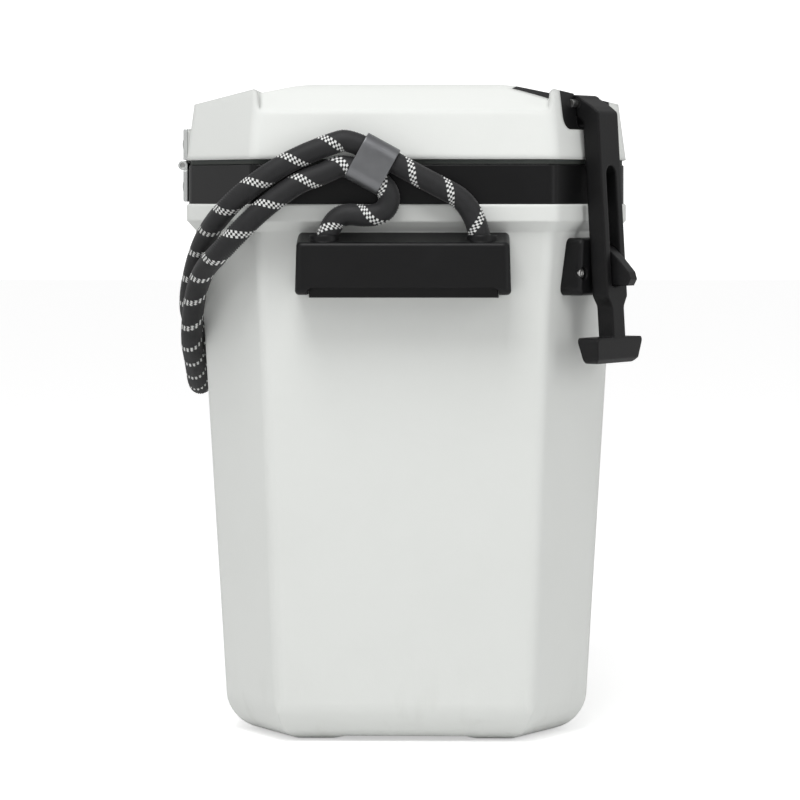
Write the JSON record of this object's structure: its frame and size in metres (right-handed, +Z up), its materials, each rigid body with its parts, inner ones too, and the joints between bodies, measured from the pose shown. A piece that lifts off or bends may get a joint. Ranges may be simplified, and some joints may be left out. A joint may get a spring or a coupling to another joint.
{
  "type": "cooler chest",
  "caption": "Upright insulated cooler chest with a hinged lid, rubber T-latches on the front corners, a carrying bracket at each end and a doubled shoulder rope behind.",
  "frame": {"origin": "under the middle of the chest, on the surface that it stands on", "axes": "+X along the length, towards the right end seen from the front; +Y towards the hinge side, so the latches are on the -Y side; +Z up"},
  "size_m": [0.4832, 0.3296, 0.4588],
  "materials": {
    "white_shell": "satin, fine-textured rotomoulded skin",
    "white_liner": "smooth satin",
    "foam": "closed-cell foam, out of sight",
    "black_collar": "satin",
    "gasket": "soft, matt",
    "hinge_metal": "satin",
    "screw_steel": "plain",
    "black_insert": "satin",
    "latch_rubber": "satin rubber",
    "rope_black": "braided cord with pale flecks",
    "clip_metal": "brushed, dark anodised"
  },
  "bodies": {
    "chest": {"body_shell": "white_shell", "body_foam": "foam", "body_liner": "white_liner", "collar": "black_collar", "hinge_leaf_body": "hinge_metal", "hinge_pin": "hinge_metal", "hinge_screws_body": "screw_steel", "keeper_screws": "screw_steel", "handle_screws": "screw_steel", "rope_lower": "rope_black", "rope_upper": "rope_black", "keeper_left": "black_insert", "handle_bracket_left": "black_insert", "handle_plate_left": "black_insert", "rope_clip_left": "clip_metal", "rope_knots_left": "rope_black", "keeper_right": "black_insert", "handle_bracket_right": "black_insert", "handle_plate_right": "black_insert", "rope_clip_right": "clip_metal", "rope_knots_right": "rope_black"},
    "lid": {"lid_shell": "white_shell", "lid_foam": "foam", "lid_liner": "white_liner", "lid_seal": "gasket", "hinge_leaf_lid": "hinge_metal", "hinge_screws_lid": "screw_steel", "latch_mount_screws": "screw_steel", "latch_mount_left": "black_insert", "latch_mount_right": "black_insert", "latch_pin_left": "screw_steel", "latch_pin_right": "screw_steel"},
    "latch_left": {"latch_strap_left": "latch_rubber", "latch_bush_left": "black_insert"},
    "latch_right": {"latch_strap_right": "latch_rubber", "latch_bush_right": "black_insert"}
  },
  "joints": [
    {"name": "lid_hinge", "type": "hinge", "parent": "chest", "child": "lid", "pos_m": [0, 0.1615, 0.4025], "axis": [-1, 0, 0], "range_deg": [0, 100]},
    {"name": "latch_left_swing", "type": "hinge", "parent": "lid", "child": "latch_left", "pos_m": [-0.17249, -0.12401, 0.445], "axis": [-0.866, 0.5, 0], "range_deg": [0, 100], "deforming": ["latch_strap_left"]},
    {"name": "latch_right_swing", "type": "hinge", "parent": "lid", "child": "latch_right", "pos_m": [0.17249, -0.12401, 0.445], "axis": [-0.866, -0.5, 0], "range_deg": [0, 100], "deforming": ["latch_strap_right"]}
  ]
}
